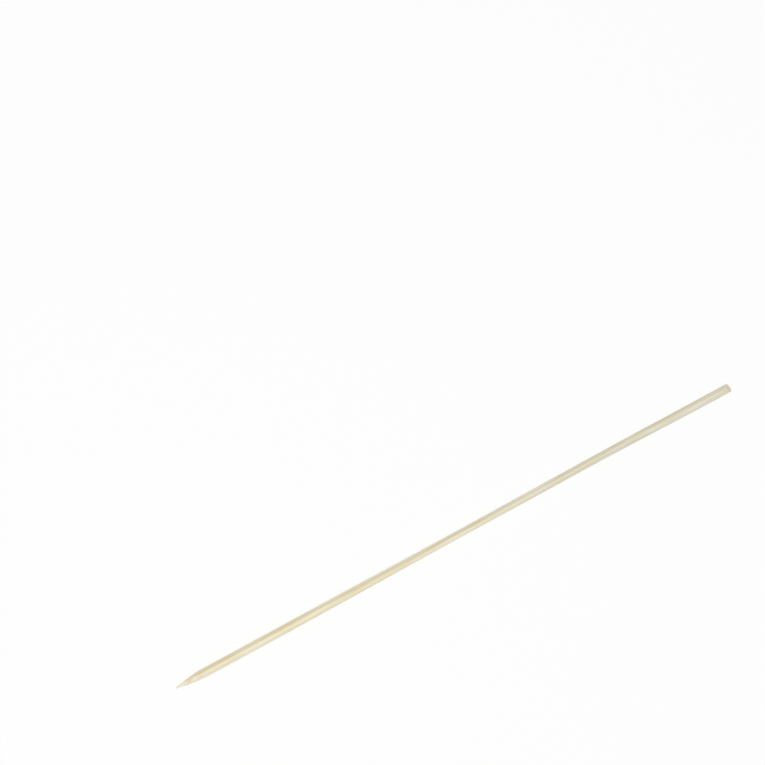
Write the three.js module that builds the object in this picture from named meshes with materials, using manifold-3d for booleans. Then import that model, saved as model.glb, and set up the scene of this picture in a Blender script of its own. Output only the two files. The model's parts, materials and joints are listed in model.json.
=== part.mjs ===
// A bamboo skewer of about 200 by 3 mm. It is one split of bamboo, rounded through a cutter,
// ground to a point at one end and sawn off at the other, so it is one solid.
//
// Sizes are in millimetres. The stick lies along X on the surface z = 0, with its point towards -X
// and its sawn butt towards +X, and the origin is under the middle of its box. While it is being
// made, its tip is at x = 0. Angles round the stick start at +Y and pass +Z at 90 degrees.

import * as THREE from "three";
import { mergeVertices } from "three/addons/utils/BufferGeometryUtils.js";
import Module from "manifold-3d";

const wasm = await Module();
wasm.setup();

// The shaft, which the round cutter leaves a little uneven
const LENGTH = 200; // from the tip to the furthest edge of the sawn end
const SHOULDER_DIAMETER = 2.95; // just behind the point
const SLIM_DIAMETER = 2.5; // at its thinnest
const BUTT_DIAMETER = 2.85; // at the sawn end
const SLIM_FROM_BUTT = 54; // where it is thinnest

// The bend that the bamboo has taken, towards +Y
const BEND = 0.25; // the furthest that the axis stands out
const BEND_START_FROM_BUTT = 100;
const BEND_PEAK_FROM_BUTT = 48;

// The shallow flat that the plane left along the culm's dense outer side
const FLAT_DEPTH = 0.15;
const FLAT_FACING = 48; // degrees
const FLAT_FADES_FROM_BUTT = 60; // full depth up to here
const FLAT_ENDS_FROM_BUTT = 15;

// The hollow where the split ran thinner than the round cutter
const HOLLOW_DEPTH = 0.3;
const HOLLOW_FACING = 185; // degrees
const HOLLOW_START = 25; // these three from the tip
const HOLLOW_DEEPEST = 107;
const HOLLOW_END = 140;

// The strip underneath, where the cutter just missed the split's inner side, so that it lies still
const UNDERSIDE_DEPTH = 0.08;
const UNDERSIDE_FACING = 270; // degrees

// The ground point
const POINT_LENGTH = 9.5; // from the tip to the shoulder
const POINT_BULGE = 0.14; // how far its side stands outside a straight cone
const POINT_LEAN = 0.3; // degrees that its axis leans towards +Y, going back from the tip
const TIP_RADIUS = 0.12;

// The sawn butt, cut out of square
const SAW_TILT = 28; // degrees that its face looks up
const SAW_SWING = 7; // degrees that its face looks towards +Y

// What the tools need beyond the finished stick
const SPARE = 3; // stock past each end, and room round the tools

// How finely the round forms are faceted
const SIDES = 48;
const STATIONS = 42;
const POINT_STEPS = 8;
const TIP_STEPS = 3;

const BAMBOO = new THREE.MeshStandardMaterial({
  color: 0xe6ddc0,
  roughness: 0.75,
  metalness: 0,
});

const { degToRad, lerp, smoothstep } = THREE.MathUtils;

// Rises smoothly from 0 at the start to 1 at the peak, and falls to 0 again at the end.
function hump(place, start, peak, end) {
  return smoothstep(place, start, peak) * (1 - smoothstep(place, peak, end));
}

// The round cutter's radius at a place along the stick.
function roundRadius(place) {
  const slimPlace = LENGTH - SLIM_FROM_BUTT;
  const diameter =
    place < slimPlace
      ? lerp(SHOULDER_DIAMETER, SLIM_DIAMETER, smoothstep(place, POINT_LENGTH, slimPlace))
      : lerp(SLIM_DIAMETER, BUTT_DIAMETER, smoothstep(place, slimPlace, LENGTH));
  return diameter / 2;
}

// The stick's axis at a place: bent in plan, and as high as the strip underneath lies below it, so
// that the strip lies on the surface all along.
function axisPoint(place) {
  const bend =
    BEND *
    hump(place, LENGTH - BEND_START_FROM_BUTT, LENGTH - BEND_PEAK_FROM_BUTT, LENGTH);
  return new THREE.Vector3(place, bend, roundRadius(place) - UNDERSIDE_DEPTH);
}

// The three sides that cut a chord off the round section, each with its depth at a place.
function missingSides(place) {
  return [
    {
      facing: degToRad(FLAT_FACING),
      depth:
        FLAT_DEPTH *
        (1 - smoothstep(place, LENGTH - FLAT_FADES_FROM_BUTT, LENGTH - FLAT_ENDS_FROM_BUTT)),
    },
    {
      facing: degToRad(HOLLOW_FACING),
      depth: HOLLOW_DEPTH * hump(place, HOLLOW_START, HOLLOW_DEEPEST, HOLLOW_END),
    },
    { facing: degToRad(UNDERSIDE_FACING), depth: UNDERSIDE_DEPTH },
  ];
}

// The distance from the axis to the skin at a place and an angle: a circle cut by its chords.
function skinRadius(place, angle) {
  const round = roundRadius(place);
  let reach = round;
  for (const { facing, depth } of missingSides(place)) {
    const towards = Math.cos(angle - facing);
    if (towards > 0) reach = Math.min(reach, (round - depth) / towards);
  }
  return reach;
}

// The rounded shaft, with spare stock at both ends: a cylinder whose rings take the true section.
function makeShaft() {
  const stockLength = LENGTH + 2 * SPARE;
  const halfSide = Math.PI / SIDES;
  const shaft = new THREE.CylinderGeometry(
    1, 1, stockLength, SIDES, STATIONS, false, halfSide,
  );
  shaft.rotateZ(-Math.PI / 2);
  shaft.translate(stockLength / 2 - SPARE, 0, 0);
  const corners = shaft.attributes.position;
  const corner = new THREE.Vector3();
  for (let i = 0; i < corners.count; i += 1) {
    corner.fromBufferAttribute(corners, i);
    const place = corner.x;
    const angle = Math.atan2(corner.z, corner.y);
    const fromAxis = Math.hypot(corner.y, corner.z) * skinRadius(place, angle);
    corner.set(0, Math.cos(angle) * fromAxis, Math.sin(angle) * fromAxis);
    corner.add(axisPoint(place));
    corners.setXYZ(i, corner.x, corner.y, corner.z);
  }
  return shaft;
}

// What the grinder takes off round the point: a cup with the point's shape inside it.
function makeGrinderCup() {
  const shoulderRadius = SHOULDER_DIAMETER / 2;
  const outerRadius = shoulderRadius + SPARE;
  const flankLength = POINT_LENGTH - TIP_RADIUS;
  const flankRise = shoulderRadius - TIP_RADIUS;
  const profile = [];
  for (let i = 0; i <= TIP_STEPS; i += 1) {
    const turn = (Math.PI / 2) * (i / TIP_STEPS);
    profile.push(new THREE.Vector2(TIP_RADIUS * Math.sin(turn), TIP_RADIUS * (1 - Math.cos(turn))));
  }
  for (let i = 1; i <= POINT_STEPS; i += 1) {
    const t = i / POINT_STEPS;
    const bulge = POINT_BULGE * 4 * t * (1 - t);
    profile.push(new THREE.Vector2(TIP_RADIUS + flankRise * t + bulge, TIP_RADIUS + flankLength * t));
  }
  const endSlope = (flankRise - 4 * POINT_BULGE) / flankLength;
  profile.push(new THREE.Vector2(outerRadius, POINT_LENGTH + SPARE / endSlope));
  profile.push(new THREE.Vector2(outerRadius, -2 * SPARE));
  profile.push(new THREE.Vector2(0, -2 * SPARE));
  const cup = new THREE.LatheGeometry(profile.reverse(), SIDES);
  cup.rotateZ(-Math.PI / 2 + degToRad(POINT_LEAN));
  const tip = axisPoint(0);
  cup.translate(tip.x, tip.y, tip.z);
  return cup;
}

// What the saw takes off at the butt: a block with one face in the plane of the cut.
function makeSawBlock() {
  const facing = new THREE.Matrix4()
    .makeRotationZ(degToRad(SAW_SWING))
    .multiply(new THREE.Matrix4().makeRotationY(-degToRad(SAW_TILT)));
  const outward = new THREE.Vector3(1, 0, 0).transformDirection(facing);
  const slant = Math.tan(Math.acos(outward.x));
  const size = 2 * (BUTT_DIAMETER + SPARE);
  const block = new THREE.BoxGeometry(size, size, size);
  block.translate(size / 2, 0, 0);
  block.applyMatrix4(facing);
  const middle = axisPoint(LENGTH - (BUTT_DIAMETER / 2) * slant);
  block.translate(middle.x, middle.y, middle.z);
  return block;
}

// A closed geometry as a solid that can be cut.
function toSolid(geometry) {
  geometry.deleteAttribute("normal");
  geometry.deleteAttribute("uv");
  const merged = mergeVertices(geometry, 1e-5);
  return new wasm.Manifold(
    new wasm.Mesh({
      numProp: 3,
      vertProperties: merged.attributes.position.array,
      triVerts: new Uint32Array(merged.index.array),
    }),
  );
}

// A cut solid as a geometry again.
function toGeometry(solid) {
  const { vertProperties, triVerts } = solid.getMesh();
  const geometry = new THREE.BufferGeometry();
  geometry.setAttribute("position", new THREE.BufferAttribute(vertProperties, 3));
  geometry.setIndex(new THREE.BufferAttribute(triVerts, 1));
  geometry.computeVertexNormals();
  return geometry;
}

function makeSkewer() {
  const cut = toSolid(makeShaft()).subtract(toSolid(makeGrinderCup())).subtract(toSolid(makeSawBlock()));
  const skewer = new THREE.Mesh(toGeometry(cut), BAMBOO);
  skewer.name = "skewer";
  skewer.geometry.computeBoundingBox();
  const { min, max } = skewer.geometry.boundingBox;
  skewer.position.set(-(min.x + max.x) / 2, -(min.y + max.y) / 2, -min.z);
  return skewer;
}

const part = new THREE.Group();
part.add(makeSkewer());

export default part;
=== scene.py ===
"""A bamboo skewer lying on a white table, seen from straight above.

The stick is one piece. Its form is read from the frame's solid and made smooth, and then it gets the
fibres, the grinder's marks and the saw's marks that the solid is too coarse for. The stick lies along
X, with its point towards -X and its sawn butt towards +X. Sizes are in metres, and MM is one
millimetre. Angles round the stick start at +Y and pass +Z at 90 degrees. The bamboo's colours are
written as their everyday values, from 0 to 255.
"""

import json
import math
from dataclasses import dataclass

import bpy
import numpy as np
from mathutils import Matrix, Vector
from mathutils.bvhtree import BVHTree


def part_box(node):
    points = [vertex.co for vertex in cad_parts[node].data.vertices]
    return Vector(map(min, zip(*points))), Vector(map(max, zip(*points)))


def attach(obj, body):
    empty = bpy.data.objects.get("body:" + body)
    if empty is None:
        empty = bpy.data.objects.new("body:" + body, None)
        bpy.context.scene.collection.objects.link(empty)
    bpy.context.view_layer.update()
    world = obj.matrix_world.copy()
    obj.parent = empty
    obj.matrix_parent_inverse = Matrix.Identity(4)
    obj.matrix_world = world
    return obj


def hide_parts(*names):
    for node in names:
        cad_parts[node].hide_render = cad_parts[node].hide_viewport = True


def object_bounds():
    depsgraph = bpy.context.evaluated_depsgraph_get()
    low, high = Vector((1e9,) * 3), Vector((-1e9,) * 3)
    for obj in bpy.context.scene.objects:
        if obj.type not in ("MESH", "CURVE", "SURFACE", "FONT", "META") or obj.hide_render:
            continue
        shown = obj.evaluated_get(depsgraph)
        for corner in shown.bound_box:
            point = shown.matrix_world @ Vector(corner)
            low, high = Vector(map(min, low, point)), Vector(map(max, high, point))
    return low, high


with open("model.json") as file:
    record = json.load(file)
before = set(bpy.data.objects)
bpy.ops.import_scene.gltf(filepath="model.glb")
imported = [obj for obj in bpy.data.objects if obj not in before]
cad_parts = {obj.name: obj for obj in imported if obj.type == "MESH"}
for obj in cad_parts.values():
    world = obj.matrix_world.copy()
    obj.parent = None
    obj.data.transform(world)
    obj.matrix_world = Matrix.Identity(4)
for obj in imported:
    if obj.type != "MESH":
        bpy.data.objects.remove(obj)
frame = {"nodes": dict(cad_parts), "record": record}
cad_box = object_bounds()

MM = 0.001

# Where the stick's ends are in the picture, in pixels from the middle of its top left one
PICTURE_SIDE = 765
TIP_IN_PICTURE = (175, 688)
BUTT_IN_PICTURE = (727.9, 387.4)  # the middle of the sawn face
CAMERA_HEIGHT = 0.9  # above the tip
SENSOR_WIDTH = 36  # in millimetres, as the lens is too

# How finely the stick's skin is divided
SIDES = 176
TIP_RINGS = 5
POINT_STEP = 0.125 * MM
SHAFT_STEP = 0.5 * MM
BUTT_STEP = 0.12 * MM
RIM_RINGS = 5
FACE_RINGS = 24
ANGLES = np.arange(SIDES) * 2 * math.pi / SIDES
AROUND = np.stack([np.cos(ANGLES), np.sin(ANGLES)], 1)

# The forms at each end
TIP_ROUND = 0.12 * MM  # the length of the small round on the tip
TIP_TURN = 0.25  # the first ring stands this share of the way round it
POINT_REACH = 12 * MM  # finely divided from the tip to here, which takes in the shoulder
BUTT_REACH = 3 * MM  # likewise at the butt
BUTT_MARGIN = 0.15 * MM  # how far short of the saw cut the last whole section is read
GROUND_SLOPE = 0.04  # skin that rises faster than this along the stick was ground
GROUND_SHARE = 0.5  # a face that was ground more than this has the point's finish
FACET_COLUMNS = 3  # the solid's facets are smoothed over this many columns to each side

# Unevenness that tools and time have left, all of it taken off the solid's form
SEED = 7
WAVE_COUNT = 7
WAVE_PACES = (0.5, 1.6)  # beside the pace of a wave as long as the bumps
WAVE_TURNS = 3  # the most waves that pass round the stick
WAVER_DEPTH = 0.03 * MM
WAVER_LENGTH = 11 * MM
GRIND_DEPTH = 0.016 * MM
GRIND_PITCH = 0.55 * MM
GRIND_PATCH = 4 * MM  # the grinder's marks come and go over this length
SAW_DEPTH = 0.02 * MM
SAW_PITCH = 0.3 * MM
SAW_STROKE = (0.8, 0.6)  # the Y and Z of the way across the saw's marks
RIM_ROUND = 0.07 * MM
RIM_CHIPS = 0.06 * MM
RIM_CHIP_TURNS = 5  # how much closer together the chips are than the other bumps
FIBRE_RELIEF = 0.022 * MM
TIP_RELIEF_FREE = 1.5 * MM  # nearer to the tip than this, the fibres and the marks fade out

# The bamboo's fibre bundles, which run along X
BUNDLE_SPACING = 0.36 * MM
BUNDLE_SCATTER = 0.85  # 0 would be an even grid
BUNDLE_RUN = 0.005  # how fast the bundles change along the stick beside across it
BUNDLE_CORE, BUNDLE_EDGE = 0.28, 0.44  # a bundle fades out between these, in spacings
OUTER_CORE, OUTER_EDGE = 0.10, 0.16  # how much larger they are on the culm's outer side
FAINTEST_BUNDLE, BUNDLE_RANGE = 0.6, 0.5  # how strongly a bundle shows, by its own tone

# The side that was the culm's dense outer wall
OUTER_FACING = math.radians(50)
OUTER_WIDE = math.cos(math.radians(34))  # it ends this far round from its middle
OUTER_NARROW = math.cos(math.radians(12))  # and it is whole up to here
OUTER_START, OUTER_FULL = 0.4 * MM, 1.0 * MM  # how far from the stick's middle it begins
OUTER_FADE_START, OUTER_FADE_END = 10 * MM, 55 * MM  # along X
OUTER_AT_BUTT = 0.05  # what is left of it past there

# Fine fibres, slow clouds, scratches and torn tissue, as changes per metre along X, Y and Z
FIBRE_PACE = (40, 9000, 9000)
CLOUD_PACE = (45, 420, 420)
SCRATCH_PACE = (9000, 700, 700)
TORN_PACE = (14000, 14000, 14000)
FIBRE_DETAIL, CLOUD_DETAIL, SCRATCH_DETAIL, TORN_DETAIL = 3.0, 2.0, 2.0, 3.0
FIBRE_ROUGHNESS = 0.6  # how strong the finer detail of the fibres' noise is
NOISE_LOW, NOISE_HIGH = 0.3, 0.7  # most of a noise lies between these
FIBRE_SHADE, FIBRE_TINT = (222, 214, 190), 0.55
CLOUD_SHADE, CLOUD_TINT = (246, 241, 223), 0.8

# Painted shade: the shaft's colour is made darker, greyer and cooler towards the butt, standing in for the
# light falling off there
PAINTED_SHADE_START, PAINTED_SHADE_END = -60 * MM, 90 * MM  # along X
PAINTED_SHADE_COLOUR = (240, 244, 254)

# The finishes, in the order of the stick's materials
PLANED, GROUND, SAWN = range(3)

# Each finish's soft tissue, its bundles and how far they cover it, and likewise its outer side
PLANED_LOOK = ((245, 239, 218), (228, 219, 188), 0.75, (221, 215, 191), 0.52)
GROUND_LOOK = ((246, 241, 222), (222, 210, 175), 0.8, (226, 218, 193), 0.45)
SAWN_LOOK = ((252, 248, 232), (216, 202, 162), 0.8, (226, 218, 192), 0.3)

# How they shine, and how deep their bumps are
SPECULAR = 0.35
PLANED_ROUGHNESS = (0.5, 0.68)
PLANED_FIBRES = (0.2, 0.8)  # the planed skin's shine follows the fibres between these
BUNDLE_SHINE = 0.08  # a bundle in it is this much less rough
GROUND_ROUGHNESS = (0.72, 0.9)
SAWN_ROUGHNESS = (0.8, 0.95)
PLANED_BUMP, GROUND_BUMP, SAWN_BUMP = 0.02 * MM, 0.025 * MM, 0.04 * MM
FIBRES_IN_SCRATCHES = 0.6  # how high the fibres stand beside the scratches
BUNDLES_IN_TORN = 0.8  # how high the bundles stand beside the torn tissue

# Laying the skin out flat for baking, in lengths side by side, with the butt in the spare corner
MAP_SIDE = 50 * MM
STRIPS = 5
STRIP_LENGTH = 40 * MM
STRIP_WIDTH = 9.3 * MM
STRIP_PITCH = 9.9 * MM
MAP_EDGE = 0.25 * MM
BUTT_PLACE = (45.5 * MM, 4.5 * MM)
RIM_SPREAD = 0.15  # the rounded rim is laid this share of the radius outside the sawn face

# The table and the light
WHITE = (1, 1, 1, 1)
TABLE_REACH = 3.0  # from its middle to each side
TABLE_SHADE = 0.9  # the share of the light that it throws back
TABLE_WHITENING = 0.78  # how far the table is taken to plain white where it is seen
SKY_STRENGTH = 0.5  # for what it lights, because the sky itself is seen as plain white
LAMP_POWER = 7.6  # watts
LAMP_SIZE = 0.7
LAMP_PLACE = Vector((-0.15, -0.02, 1.1))  # from the stick's middle


def aim_camera(solid, butt):
    """Looks straight down, so that the tip and the butt fall on their places in the picture."""
    corners = np.array([v.co for v in solid.data.vertices])
    tip = corners[corners[:, 0].argmin()]
    stick = np.array(butt) - tip
    drawn = (BUTT_IN_PICTURE[0] - TIP_IN_PICTURE[0], TIP_IN_PICTURE[1] - BUTT_IN_PICTURE[1])
    pixel = math.hypot(stick[0], stick[1]) / math.hypot(*drawn)
    turn = math.atan2(drawn[1], drawn[0]) - math.atan2(stick[1], stick[0])
    right = np.array((math.cos(turn), -math.sin(turn)))
    up = np.array((math.sin(turn), math.cos(turn)))
    middle = (PICTURE_SIDE - 1) / 2
    aim = tip[:2] + pixel * (
        right * (middle - TIP_IN_PICTURE[0]) + up * (TIP_IN_PICTURE[1] - middle)
    )
    lens = bpy.data.cameras.new("camera")
    lens.sensor_width = SENSOR_WIDTH
    lens.lens = SENSOR_WIDTH * CAMERA_HEIGHT / (PICTURE_SIDE * pixel)
    camera = bpy.data.objects.new("camera", lens)
    camera.location = (aim[0], aim[1], tip[2] + CAMERA_HEIGHT)
    camera.rotation_euler = (0, 0, -turn)
    bpy.context.scene.collection.objects.link(camera)
    bpy.context.scene.camera = camera


# The stick's form


@dataclass
class Skin:
    """The stick's skin, as rings of corners from the tip to the middle of the sawn face."""

    rings: np.ndarray  # ring, column, and X, Y and Z
    ground: np.ndarray  # how much each corner was ground, from 0 to 1
    rim_start: int  # the ring where the butt's rounded rim starts
    tip: np.ndarray
    centre: np.ndarray  # the middle of the sawn face


def smoothstep(values, start, end):
    """Rises smoothly from 0 at the start to 1 at the end."""
    share = np.clip((values - start) / (end - start), 0, 1)
    return share * share * (3 - 2 * share)


def waves(draw, places, angles, length):
    """A smooth uneven field over the skin, from 0 to 1, with bumps about this long."""
    field = np.zeros(np.broadcast(places, angles).shape)
    for _ in range(WAVE_COUNT):
        pace = draw.uniform(*WAVE_PACES) * 2 * math.pi / length
        turns = draw.integers(-WAVE_TURNS, WAVE_TURNS + 1)
        field += np.sin(places * pace + angles * turns + draw.uniform(0, 2 * math.pi))
    return 0.5 + 0.5 * np.clip(field / math.sqrt(WAVE_COUNT), -1, 1)


def places_along(tip_x, end_x):
    """Where the rings of the skin stand along the stick, closer together at its ends."""
    turns = np.linspace(TIP_TURN, 1, TIP_RINGS) * math.pi / 2
    tip = tip_x + TIP_ROUND * (1 - np.cos(turns))
    point = np.arange(tip[-1] + POINT_STEP, tip_x + POINT_REACH, POINT_STEP)
    shaft = np.arange(point[-1] + SHAFT_STEP, end_x - BUTT_REACH, SHAFT_STEP)
    butt = np.arange(shaft[-1] + BUTT_STEP, end_x, BUTT_STEP)
    return np.concatenate([tip, point, shaft, butt])


def middle_near(form, x, guess):
    """The middle of the stick's section at x, as its Y and Z, from a point inside the section."""
    start = Vector((x, *guess))
    found = []
    for value, way in zip(guess, (Vector((0, 1, 0)), Vector((0, 0, 1)))):
        ahead = form.ray_cast(start, way)[3]
        behind = form.ray_cast(start, -way)[3]
        found.append(value + (ahead - behind) / 2)
    return found


def read_sections(solid, places, guess):
    """The middle of every section and the solid's distance from it in every direction."""
    form = BVHTree.FromPolygons(
        [v.co for v in solid.data.vertices], [p.vertices for p in solid.data.polygons]
    )
    middles = np.zeros((len(places), 2))
    start = len(places) // 2
    for walk in (range(start, len(places)), range(start, -1, -1)):
        near = guess
        for i in walk:
            near = middle_near(form, places[i], near)
            middles[i] = near
    radii = np.zeros((len(places), SIDES))
    ways = [Vector((0, *way)) for way in AROUND]
    for i, x in enumerate(places):
        start = Vector((x, *middles[i]))
        radii[i] = [form.ray_cast(start, way)[3] for way in ways]
    return middles, radii


def without_facets(radii):
    """The same skin, smoothed round the stick over about one facet of the solid."""
    shifts = np.arange(-FACET_COLUMNS, FACET_COLUMNS + 1)
    turned = [np.roll(radii, shift, axis=1) for shift in shifts]
    return np.average(turned, axis=0, weights=FACET_COLUMNS + 1 - np.abs(shifts))


def worn(draw, radii, x, from_tip, ground):
    """The skin with the cutter's waver on the shaft and the grinder's marks on the point."""
    radii = radii - WAVER_DEPTH * (1 - ground) * waves(draw, x, ANGLES, WAVER_LENGTH)
    marks = waves(draw, x, ANGLES, GRIND_PITCH) * waves(draw, x, ANGLES, GRIND_PATCH)
    fade = smoothstep(from_tip, 0, TIP_RELIEF_FREE)
    return radii - GRIND_DEPTH * ground * fade * marks


def cut_at(saw_cut, points):
    """Where along the stick the saw cut passes these points of its section."""
    place, axis = np.array(saw_cut["pos_m"]), np.array(saw_cut["axis"])
    return place[0] - (points - place[1:]) @ axis[1:] / axis[0]


def butt_rings(draw, saw_cut, last_whole, middle, reach):
    """The rings from the last whole section up to the saw cut, and those over its rim and face."""
    rim = RIM_ROUND + RIM_CHIPS * waves(draw, 0, ANGLES * RIM_CHIP_TURNS, 1) ** 2
    outline = middle + reach[:, None] * AROUND
    far = cut_at(saw_cut, outline) - rim
    steps = math.ceil((far.max() - last_whole) / BUTT_STEP)
    end = []
    for share in np.linspace(0, 1, steps + 1)[1:]:
        along = last_whole + (far - last_whole) * share
        end.append(np.column_stack([along, outline]))
    face = []
    for turn in np.linspace(0, math.pi / 2, RIM_RINGS + 1)[1:]:
        inward = middle + (reach - rim * (1 - math.cos(turn)))[:, None] * AROUND
        along = cut_at(saw_cut, inward) - rim * (1 - math.sin(turn))
        face.append(np.column_stack([along, inward]))
    for share in np.linspace(1, 0, FACE_RINGS + 1)[1:-1]:
        inward = middle + ((reach - rim) * share)[:, None] * AROUND
        stroke = np.sin(inward @ SAW_STROKE * 2 * math.pi / SAW_PITCH)
        along = cut_at(saw_cut, inward) - SAW_DEPTH * (0.5 + 0.5 * stroke)
        face.append(np.column_stack([along, inward]))
    return end, face


def make_skin(solid, saw_cut):
    """The whole skin, from the solid's form and what the tools have left on it."""
    draw = np.random.default_rng(SEED)
    low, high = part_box("skewer")
    slant = math.hypot(*saw_cut["axis"][1:]) / saw_cut["axis"][0]
    last_whole = saw_cut["pos_m"][0] - (high.z - low.z) / 2 * slant - BUTT_MARGIN
    places = places_along(low.x, last_whole)
    middles, radii = read_sections(solid, places, [0, (low.z + high.z) / 2])
    radii = without_facets(radii)
    x = places[:, None]
    slope = np.gradient(radii, places, axis=0)
    ground = smoothstep(slope, GROUND_SLOPE / 2, GROUND_SLOPE) * (x < low.x + POINT_REACH)
    radii = worn(draw, radii, x, x - low.x, ground)
    rings = [
        np.column_stack([np.full(SIDES, place), middle + reach[:, None] * AROUND])
        for place, middle, reach in zip(places, middles, radii)
    ]
    end, face = butt_rings(draw, saw_cut, last_whole, middles[-1], radii[-1])
    not_ground = np.zeros((len(end) + len(face), SIDES))
    centre_x = cut_at(saw_cut, middles[-1:])[0] - SAW_DEPTH / 2
    return Skin(
        rings=np.array(rings + end + face),
        ground=np.concatenate([ground, not_ground]),
        rim_start=len(rings) + len(end),
        tip=np.array([low.x, *middles[0]]),
        centre=np.array([centre_x, *middles[-1]]),
    )


def face_corners(skin, i, j):
    """The ring and column of each corner of a face. The tip is ring -1, and the centre is past the last."""
    last = len(skin.rings) - 1
    if i < 0:
        return [(-1, j), (0, j + 1), (0, j)]
    if i == last:
        return [(i, j), (i, j + 1), (last + 1, j)]
    return [(i, j), (i, j + 1), (i + 1, j + 1), (i + 1, j)]


def corner_number(skin, ring, column):
    """Where a corner stands in the mesh's list, which ends with the tip and the centre."""
    ringed = len(skin.rings) * SIDES
    if ring < 0:
        return ringed
    if ring == len(skin.rings):
        return ringed + 1
    return ring * SIDES + column % SIDES


def finish_at(skin, i, j):
    """Which finish a face has, told by how much of it was ground and whether it was sawn."""
    if i >= skin.rim_start:
        return SAWN
    return GROUND if i < 0 or skin.ground[i][j] > GROUND_SHARE else PLANED


def strip_spot(skin, strip, ring, column, j):
    """Where a corner of the shaft or the point lies on the flat layout, in metres."""
    along = 0 if ring < 0 else skin.rings[ring][column % SIDES][0] - skin.tip[0]
    across = j + 0.5 if ring < 0 else column
    return (
        MAP_EDGE + along - strip * STRIP_LENGTH,
        MAP_EDGE + strip * STRIP_PITCH + STRIP_WIDTH * (1 - across / SIDES),
    )


def butt_spot(skin, ring, column):
    """Where a corner of the rim or the sawn face lies on the flat layout, in metres."""
    if ring == len(skin.rings):
        return BUTT_PLACE
    side = skin.rings[ring][column % SIDES][1:] - skin.centre[1:]
    rim_share = max(0, len(skin.rings) - FACE_RINGS + 1 - ring) / RIM_RINGS
    return tuple(np.array(BUTT_PLACE) + side * (1 + RIM_SPREAD * rim_share))


def flat_spots(skin, i, j):
    """Where the corners of one face lie on the flat layout."""
    corners = face_corners(skin, i, j)
    if i >= skin.rim_start - 1:
        return [butt_spot(skin, ring, column) for ring, column in corners]
    start = skin.rings[max(i, 0)][0][0] - skin.tip[0]
    strip = min(int(start / STRIP_LENGTH), STRIPS - 1)
    return [strip_spot(skin, strip, ring, column, j) for ring, column in corners]


def make_stick(skin, finishes):
    """The stick's mesh: one closed skin, with the shaft, the ground point and the sawn butt told apart."""
    corners = np.concatenate([skin.rings.reshape(-1, 3), [skin.tip, skin.centre]])
    faces, slots, flat = [], [], []
    for i in range(-1, len(skin.rings)):
        for j in range(SIDES):
            faces.append([corner_number(skin, *corner) for corner in face_corners(skin, i, j)])
            slots.append(finish_at(skin, i, j))
            flat.extend(flat_spots(skin, i, j))
    mesh = bpy.data.meshes.new("bamboo_stick")
    mesh.from_pydata(corners.tolist(), [], faces)
    for finish in finishes:
        mesh.materials.append(finish)
    mesh.polygons.foreach_set("material_index", slots)
    mesh.polygons.foreach_set("use_smooth", [True] * len(faces))
    layer = mesh.uv_layers.new(name="OFBake")
    layer.uv.foreach_set("vector", np.array(flat, np.float32).ravel() / np.float32(MAP_SIDE))
    mesh.update()
    stick = bpy.data.objects.new("bamboo_stick", mesh)
    bpy.context.scene.collection.objects.link(stick)
    return stick


# Helpers for node trees


def srgb(colour):
    """A colour from its everyday values, as the nodes take it."""
    shares = [value / 255 for value in colour]
    linear = [x / 12.92 if x <= 0.04045 else ((x + 0.055) / 1.055) ** 2.4 for x in shares]
    return (*linear, 1)


def add_node(tree, kind, inputs=None, **settings):
    """A node with its settings, and its inputs given as values or as links from other nodes."""
    node = tree.nodes.new(kind)
    for name, value in settings.items():
        setattr(node, name, value)
    for socket, value in (inputs or {}).items():
        if isinstance(value, bpy.types.NodeSocket):
            tree.links.new(value, node.inputs[socket])
        else:
            node.inputs[socket].default_value = value
    return node


def maths(tree, operation, *values, clamp=False):
    """A sum on numbers, each of which may be a value or a link."""
    inputs = dict(enumerate(values))
    return add_node(tree, "ShaderNodeMath", inputs, operation=operation, use_clamp=clamp).outputs[0]


def vector_maths(tree, operation, *values):
    """A sum on vectors. It gives back the node, because some sums give a number."""
    return add_node(tree, "ShaderNodeVectorMath", dict(enumerate(values)), operation=operation)


def along_stick(tree, place):
    """How far along the stick a place lies, as its X."""
    return add_node(tree, "ShaderNodeSeparateXYZ", {0: place}).outputs[0]


def ramp(tree, value, start, end, low=0.0, high=1.0):
    """A smooth step from low at start to high at end."""
    inputs = {"Value": value, "From Min": start, "From Max": end, "To Min": low, "To Max": high}
    return add_node(tree, "ShaderNodeMapRange", inputs, interpolation_type="SMOOTHSTEP").outputs[0]


def blend(tree, amount, first, second, kind="MIX"):
    """Two colours mixed. Either may be a colour or a link."""
    inputs = {0: amount, 6: first, 7: second}
    return add_node(tree, "ShaderNodeMix", inputs, data_type="RGBA", blend_type=kind).outputs[2]


def noise_at(tree, place, pace, detail, roughness=0.5):
    """A soft noise that changes at this pace along X, Y and Z."""
    paced = vector_maths(tree, "MULTIPLY", place, pace).outputs[0]
    inputs = {"Vector": paced, "Scale": 1.0, "Detail": detail, "Roughness": roughness}
    return add_node(tree, "ShaderNodeTexNoise", inputs).outputs[0]


def new_group(name, kind, inputs, outputs):
    """An empty node group with its sockets, its input node and its output node."""
    tree = bpy.data.node_groups.new(name, kind)
    for label, socket in inputs.items():
        tree.interface.new_socket(label, in_out="INPUT", socket_type=socket)
    for label, socket in outputs.items():
        tree.interface.new_socket(label, in_out="OUTPUT", socket_type=socket)
    return tree, tree.nodes.new("NodeGroupInput"), tree.nodes.new("NodeGroupOutput")


# The bamboo's grain


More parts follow.
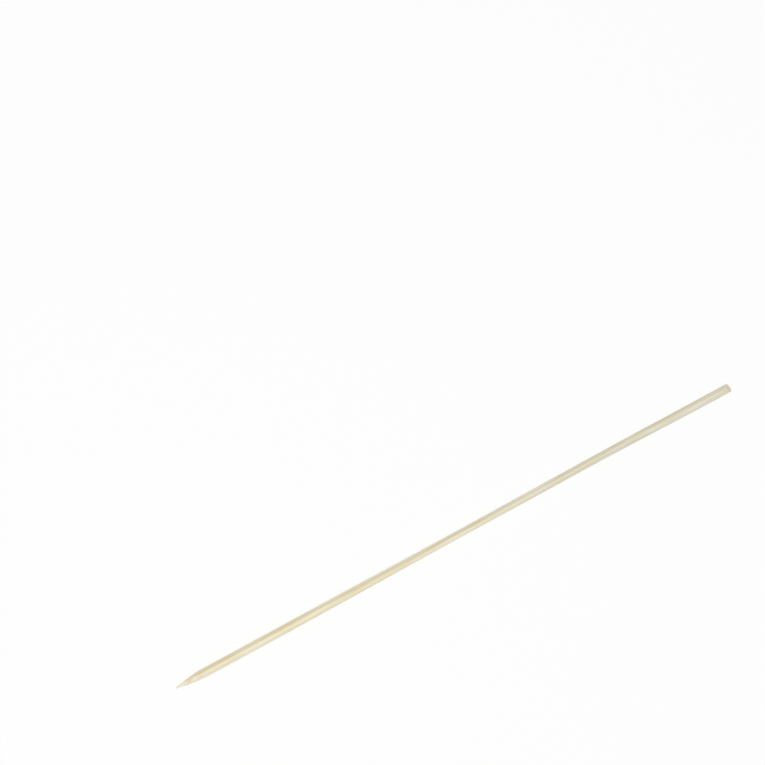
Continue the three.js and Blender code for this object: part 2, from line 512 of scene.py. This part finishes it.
def bundles_at(tree, place, outer):
    """The fibre bundles that run along the stick: how much of one is at a place, and its own tone."""
    across = vector_maths(tree, "MULTIPLY", place, (BUNDLE_RUN, 1, 1)).outputs[0]
    cells = add_node(
        tree,
        "ShaderNodeTexVoronoi",
        {"Vector": across, "Scale": 1 / BUNDLE_SPACING, "Randomness": BUNDLE_SCATTER},
        voronoi_dimensions="3D",
    )
    edge = maths(tree, "MULTIPLY_ADD", outer, OUTER_EDGE, BUNDLE_EDGE)
    core = maths(tree, "MULTIPLY_ADD", outer, OUTER_CORE, BUNDLE_CORE)
    bundle = ramp(tree, cells.outputs["Distance"], core, edge, 1.0, 0.0)
    tone = add_node(tree, "ShaderNodeSeparateXYZ", {0: cells.outputs["Color"]}).outputs[0]
    return bundle, tone


def outer_side(tree, place):
    """How far a place lies towards the culm's dense outer wall, fading out towards the butt."""
    middle = (0, 0, (cad_box[0].z + cad_box[1].z) / 2)
    offset = vector_maths(tree, "SUBTRACT", place, middle).outputs[0]
    way = (0, math.cos(OUTER_FACING), math.sin(OUTER_FACING))
    depth = vector_maths(tree, "DOT_PRODUCT", offset, way).outputs["Value"]
    across = vector_maths(tree, "MULTIPLY", offset, (0, 1, 1)).outputs[0]
    reach = vector_maths(tree, "LENGTH", across).outputs["Value"]
    facing = ramp(tree, maths(tree, "DIVIDE", depth, reach), OUTER_WIDE, OUTER_NARROW)
    x = along_stick(tree, place)
    fade = ramp(tree, x, OUTER_FADE_START, OUTER_FADE_END, 1.0, OUTER_AT_BUTT)
    near = maths(tree, "MULTIPLY", ramp(tree, depth, OUTER_START, OUTER_FULL), fade)
    return maths(tree, "MULTIPLY", facing, near)


def tinted(tree, colour, noise, shade, tint):
    """A colour that is taken towards a darker shade where the noise is high."""
    amount = ramp(tree, noise, NOISE_LOW, NOISE_HIGH, 0.0, tint)
    return blend(tree, amount, colour, srgb(shade), "MULTIPLY")


def make_grain_group():
    """The grain that every bamboo material shares: its colour, masks of what lies in it, and a painted
    shade mask that rises towards the butt.
    """
    tree, given, made = new_group(
        "bamboo grain",
        "ShaderNodeTree",
        {
            "Place": "NodeSocketVector",
            "Tissue": "NodeSocketColor",
            "Bundle": "NodeSocketColor",
            "Bundle share": "NodeSocketFloat",
            "Outer side": "NodeSocketColor",
            "Outer share": "NodeSocketFloat",
        },
        {
            "Colour": "NodeSocketColor",
            "Bundles": "NodeSocketFloat",
            "Fibres": "NodeSocketFloat",
            "Painted shade": "NodeSocketFloat",
        },
    )
    given = given.outputs
    place = given["Place"]
    outer = outer_side(tree, place)
    bundle, tone = bundles_at(tree, place, outer)
    strength = maths(tree, "MULTIPLY_ADD", tone, BUNDLE_RANGE, FAINTEST_BUNDLE)
    strength = maths(tree, "MULTIPLY", strength, given["Bundle share"])
    amount = maths(tree, "MULTIPLY", bundle, strength, clamp=True)
    colour = blend(tree, amount, given["Tissue"], given["Bundle"])
    amount = maths(tree, "MULTIPLY", outer, given["Outer share"])
    colour = blend(tree, amount, colour, given["Outer side"])
    fibres = noise_at(tree, place, FIBRE_PACE, FIBRE_DETAIL, FIBRE_ROUGHNESS)
    colour = tinted(tree, colour, fibres, FIBRE_SHADE, FIBRE_TINT)
    clouds = noise_at(tree, place, CLOUD_PACE, CLOUD_DETAIL)
    colour = tinted(tree, colour, clouds, CLOUD_SHADE, CLOUD_TINT)
    # painted shade: 0 towards the point, rising to 1 towards the butt
    painted_shade = ramp(tree, along_stick(tree, place), PAINTED_SHADE_START, PAINTED_SHADE_END)
    found = {"Colour": colour, "Bundles": bundle, "Fibres": fibres, "Painted shade": painted_shade}
    for label, value in found.items():
        tree.links.new(value, made.inputs[label])
    return tree


def make_relief_group():
    """Sinks the soft tissue between the bundles, so that the bundles stand out along the skin."""
    skin = {"Skin": "NodeSocketGeometry"}
    tree, given, made = new_group("fibre relief", "GeometryNodeTree", skin, skin)
    place = tree.nodes.new("GeometryNodeInputPosition").outputs[0]
    bundle, _ = bundles_at(tree, place, outer_side(tree, place))
    from_tip = maths(tree, "SUBTRACT", along_stick(tree, place), cad_box[0].x)
    depth = ramp(tree, from_tip, 0.0, TIP_RELIEF_FREE, 0.0, -FIBRE_RELIEF)
    sunk = maths(tree, "MULTIPLY", maths(tree, "SUBTRACT", 1.0, bundle), depth)
    normal = tree.nodes.new("GeometryNodeInputNormal").outputs[0]
    inputs = {0: normal, "Scale": sunk}
    offset = add_node(tree, "ShaderNodeVectorMath", inputs, operation="SCALE").outputs[0]
    inputs = {"Geometry": given.outputs[0], "Offset": offset}
    moved = add_node(tree, "GeometryNodeSetPosition", inputs)
    tree.links.new(moved.outputs[0], made.inputs[0])
    return tree


def carve_fibres(stick):
    """Gives the stick's own mesh the relief of its fibres."""
    modifier = stick.modifiers.new("fibre relief", "NODES")
    modifier.node_group = make_relief_group()
    seen = bpy.context.evaluated_depsgraph_get()
    carved = bpy.data.meshes.new_from_object(stick.evaluated_get(seen))
    stick.modifiers.remove(modifier)
    plain = stick.data
    stick.data = carved
    bpy.data.meshes.remove(plain)
    carved.name = "bamboo_stick"


def start_bamboo(name, grain, look):
    """A material with the grain placed in it. Its shader, place and grain are given back too."""
    tissue, bundle, bundle_share, outer, outer_share = look
    material = bpy.data.materials.new(name)
    material.use_nodes = True
    tree = material.node_tree
    shader = tree.nodes["Principled BSDF"]
    shader.inputs["Specular IOR Level"].default_value = SPECULAR
    place = tree.nodes.new("ShaderNodeTexCoord").outputs["Object"]
    inputs = {
        "Place": place,
        "Tissue": srgb(tissue),
        "Bundle": srgb(bundle),
        "Bundle share": bundle_share,
        "Outer side": srgb(outer),
        "Outer share": outer_share,
    }
    bamboo = add_node(tree, "ShaderNodeGroup", inputs, node_tree=grain).outputs
    return material, shader, place, bamboo


def end_bamboo(tree, shader, colour, roughness, height, distance):
    """Joins a bamboo material's colour, roughness and bumps to its shader."""
    tree.links.new(colour, shader.inputs["Base Color"])
    tree.links.new(roughness, shader.inputs["Roughness"])
    bump = add_node(tree, "ShaderNodeBump", {"Height": height, "Distance": distance})
    tree.links.new(bump.outputs[0], shader.inputs["Normal"])


def planed_bamboo(grain):
    """The shaft's skin as the round cutter leaves it: smooth, with a dull shine on its fibres, and with
    painted shade towards the butt.
    """
    material, shader, _, bamboo = start_bamboo("planed bamboo", grain, PLANED_LOOK)
    tree = material.node_tree
    # painted shade: the shaft is darkened and cooled towards the butt
    colour = blend(tree, bamboo["Painted shade"], bamboo["Colour"], srgb(PAINTED_SHADE_COLOUR), "MULTIPLY")
    rough = ramp(tree, bamboo["Fibres"], *PLANED_FIBRES, *PLANED_ROUGHNESS)
    rough = maths(tree, "MULTIPLY_ADD", bamboo["Bundles"], -BUNDLE_SHINE, rough)
    end_bamboo(tree, shader, colour, rough, bamboo["Fibres"], PLANED_BUMP)
    return material


def ground_bamboo(grain):
    """The point, freshly ground: paler and rougher, with the grinder's fine scratches round it."""
    material, shader, place, bamboo = start_bamboo("ground bamboo", grain, GROUND_LOOK)
    tree = material.node_tree
    scratches = noise_at(tree, place, SCRATCH_PACE, SCRATCH_DETAIL)
    rough = ramp(tree, scratches, NOISE_LOW, NOISE_HIGH, *GROUND_ROUGHNESS)
    height = maths(tree, "MULTIPLY_ADD", bamboo["Fibres"], FIBRES_IN_SCRATCHES, scratches)
    end_bamboo(tree, shader, bamboo["Colour"], rough, height, GROUND_BUMP)
    return material


def sawn_bamboo(grain):
    """The sawn butt: the cut bundles show as brownish dots in the pale soft tissue."""
    material, shader, place, bamboo = start_bamboo("sawn bamboo", grain, SAWN_LOOK)
    tree = material.node_tree
    torn = noise_at(tree, place, TORN_PACE, TORN_DETAIL)
    rough = ramp(tree, torn, NOISE_LOW, NOISE_HIGH, *SAWN_ROUGHNESS)
    height = maths(tree, "MULTIPLY_ADD", bamboo["Bundles"], BUNDLES_IN_TORN, torn)
    end_bamboo(tree, shader, bamboo["Colour"], rough, height, SAWN_BUMP)
    return material


# The table and the light


def straight_rays(tree):
    """1 for what the camera sees, directly, mirrored or through glass."""
    path = tree.nodes.new("ShaderNodeLightPath").outputs
    either = maths(tree, "MAXIMUM", path["Is Camera Ray"], path["Is Glossy Ray"])
    return maths(tree, "MAXIMUM", either, path["Is Transmission Ray"])


def white_table():
    """Matt white that is lit and shaded as usual, but shows nearly plain white."""
    material = bpy.data.materials.new("white table")
    material.use_nodes = True
    tree = material.node_tree
    shader = tree.nodes["Principled BSDF"]
    shader.inputs["Base Color"].default_value = (TABLE_SHADE, TABLE_SHADE, TABLE_SHADE, 1)
    shader.inputs["Roughness"].default_value = 1.0
    shader.inputs["Specular IOR Level"].default_value = 0.0
    white = add_node(tree, "ShaderNodeEmission", {"Color": WHITE, "Strength": 1.0})
    amount = maths(tree, "MULTIPLY", straight_rays(tree), TABLE_WHITENING)
    inputs = {0: amount, 1: shader.outputs[0], 2: white.outputs[0]}
    mixed = add_node(tree, "ShaderNodeMixShader", inputs)
    tree.links.new(mixed.outputs[0], tree.nodes["Material Output"].inputs["Surface"])
    return material


def make_table(height):
    """A plain white table that shows as white, with the stick's faint shadow on it."""
    mesh = bpy.data.meshes.new("table")
    ways = ((-1, -1), (1, -1), (1, 1), (-1, 1))
    corners = [(TABLE_REACH * x, TABLE_REACH * y, height) for x, y in ways]
    mesh.from_pydata(corners, [], [(0, 1, 2, 3)])
    mesh.materials.append(white_table())
    table = bpy.data.objects.new("table", mesh)
    bpy.context.scene.collection.objects.link(table)
    return table


def light_table(middle):
    """Soft plain light: an even white sky, and one wide lamp overhead, a little towards the point."""
    world = bpy.data.worlds.new("white room")
    bpy.context.scene.world = world
    world.use_nodes = True
    tree = world.node_tree
    background = tree.nodes["Background"]
    background.inputs["Color"].default_value = WHITE
    strength = maths(tree, "MULTIPLY_ADD", straight_rays(tree), 1 - SKY_STRENGTH, SKY_STRENGTH)
    tree.links.new(strength, background.inputs["Strength"])
    data = bpy.data.lights.new("overhead lamp", "AREA")
    data.size = LAMP_SIZE
    data.energy = LAMP_POWER
    lamp = bpy.data.objects.new("overhead lamp", data)
    lamp.location = middle + LAMP_PLACE
    lamp.rotation_euler = (-LAMP_PLACE).to_track_quat("-Z", "Y").to_euler()
    lamp.visible_camera = False
    bpy.context.scene.collection.objects.link(lamp)


# The scene


bpy.context.scene.view_settings.view_transform = "Standard"
solid = frame["nodes"]["skewer"]
mounts = {mount["name"]: mount for mount in frame["record"]["mounts"]}
saw_cut = mounts["butt_face"]
aim_camera(solid, saw_cut["pos_m"])
grain = make_grain_group()
finishes = (planed_bamboo(grain), ground_bamboo(grain), sawn_bamboo(grain))
stick = make_stick(make_skin(solid, saw_cut), finishes)
carve_fibres(stick)
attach(stick, "root")
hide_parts("skewer")
table = make_table(cad_box[0].z)
light_table((cad_box[0] + cad_box[1]) / 2)
